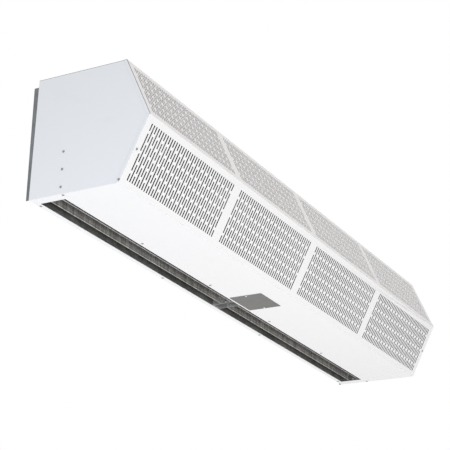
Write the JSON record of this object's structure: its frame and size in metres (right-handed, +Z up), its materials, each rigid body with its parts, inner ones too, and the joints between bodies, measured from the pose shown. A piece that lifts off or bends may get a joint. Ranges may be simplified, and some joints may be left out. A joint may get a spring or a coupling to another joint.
{
  "type": "air curtain",
  "caption": "Wall-hung air curtain in white sheet steel: five-sided cabinet with slotted slanted front faces, twin-row vaned bottom nozzle, centrifugal fans inside.",
  "frame": {"origin": "middle of the upper row of wall bolts, on the wall plane", "axes": "+X along the unit to the end with the control box, +Y into the wall, -Y into the room, +Z up"},
  "size_m": [2.1384, 0.4189, 0.3902],
  "materials": {
    "cabinet_paint": "satin powder coat",
    "back_steel": "dull galvanised",
    "galvanised": "galvanised",
    "nozzle_steel": "dull galvanised",
    "vane_steel": "galvanised",
    "screw_steel": "zinc plated",
    "badge_enamel": "satin",
    "rivet_white": "gloss",
    "shaft_steel": "ground",
    "motor_paint": "semi-gloss black",
    "ring_rubber": "matt",
    "moulded_black": "matt",
    "can_aluminium": "satin"
  },
  "bodies": {
    "cabinet": {"top_panel": "cabinet_paint", "bottom_panel": "cabinet_paint", "left_end_panel": "cabinet_paint", "right_end_panel": "cabinet_paint", "upper_intake_panel": "cabinet_paint", "lower_intake_panel": "cabinet_paint", "back_panel": "back_steel", "upper_wall_rail": "galvanised", "lower_wall_rail": "galvanised", "hanger_plates": "shaft_steel", "nozzle_front_wall": "nozzle_steel", "nozzle_rear_wall": "nozzle_steel", "nozzle_left_end": "nozzle_steel", "nozzle_right_end": "nozzle_steel", "nozzle_centre_bracket": "galvanised", "fan_deck": "galvanised", "left_outer_scroll": "galvanised", "left_inner_scroll": "galvanised", "right_inner_scroll": "galvanised", "right_outer_scroll": "galvanised", "inlet_rings": "moulded_black", "left_motor": "motor_paint", "right_motor": "motor_paint", "left_cradle": "galvanised", "right_cradle": "galvanised", "motor_rings": "ring_rubber", "capacitors": "can_aluminium", "control_box": "galvanised", "control_box_lid": "galvanised", "terminal_block": "moulded_black", "relay": "moulded_black", "badge_plate": "badge_enamel", "badge_rivets": "rivet_white", "case_screws": "screw_steel", "lock_screws": "screw_steel"},
    "left_rotor": {"left_shaft": "shaft_steel", "left_outer_wheel": "galvanised", "left_inner_wheel": "galvanised"},
    "right_rotor": {"right_shaft": "shaft_steel", "right_inner_wheel": "galvanised", "right_outer_wheel": "galvanised"},
    "left_rear_blade": {"left_rear_vane": "vane_steel"},
    "left_front_blade": {"left_front_vane": "vane_steel"},
    "right_rear_blade": {"right_rear_vane": "vane_steel"},
    "right_front_blade": {"right_front_vane": "vane_steel"}
  },
  "joints": [
    {"name": "left_fan_spin", "type": "hinge", "parent": "cabinet", "child": "left_rotor", "pos_m": [-0.5335, -0.1465, -0.02464], "axis": [-1, 0, 0], "continuous": true},
    {"name": "right_fan_spin", "type": "hinge", "parent": "cabinet", "child": "right_rotor", "pos_m": [0.5335, -0.1465, -0.02464], "axis": [-1, 0, 0], "continuous": true},
    {"name": "left_rear_vane_tilt", "type": "hinge", "parent": "cabinet", "child": "left_rear_blade", "pos_m": [-0.526, -0.0625, -0.273], "axis": [1, 0, 0], "range_deg": [-20, 20]},
    {"name": "left_front_vane_tilt", "type": "hinge", "parent": "cabinet", "child": "left_front_blade", "pos_m": [-0.526, -0.103, -0.273], "axis": [1, 0, 0], "range_deg": [-20, 20]},
    {"name": "right_rear_vane_tilt", "type": "hinge", "parent": "cabinet", "child": "right_rear_blade", "pos_m": [0.526, -0.0625, -0.273], "axis": [1, 0, 0], "range_deg": [-20, 20]},
    {"name": "right_front_vane_tilt", "type": "hinge", "parent": "cabinet", "child": "right_front_blade", "pos_m": [0.526, -0.103, -0.273], "axis": [1, 0, 0], "range_deg": [-20, 20]}
  ]
}
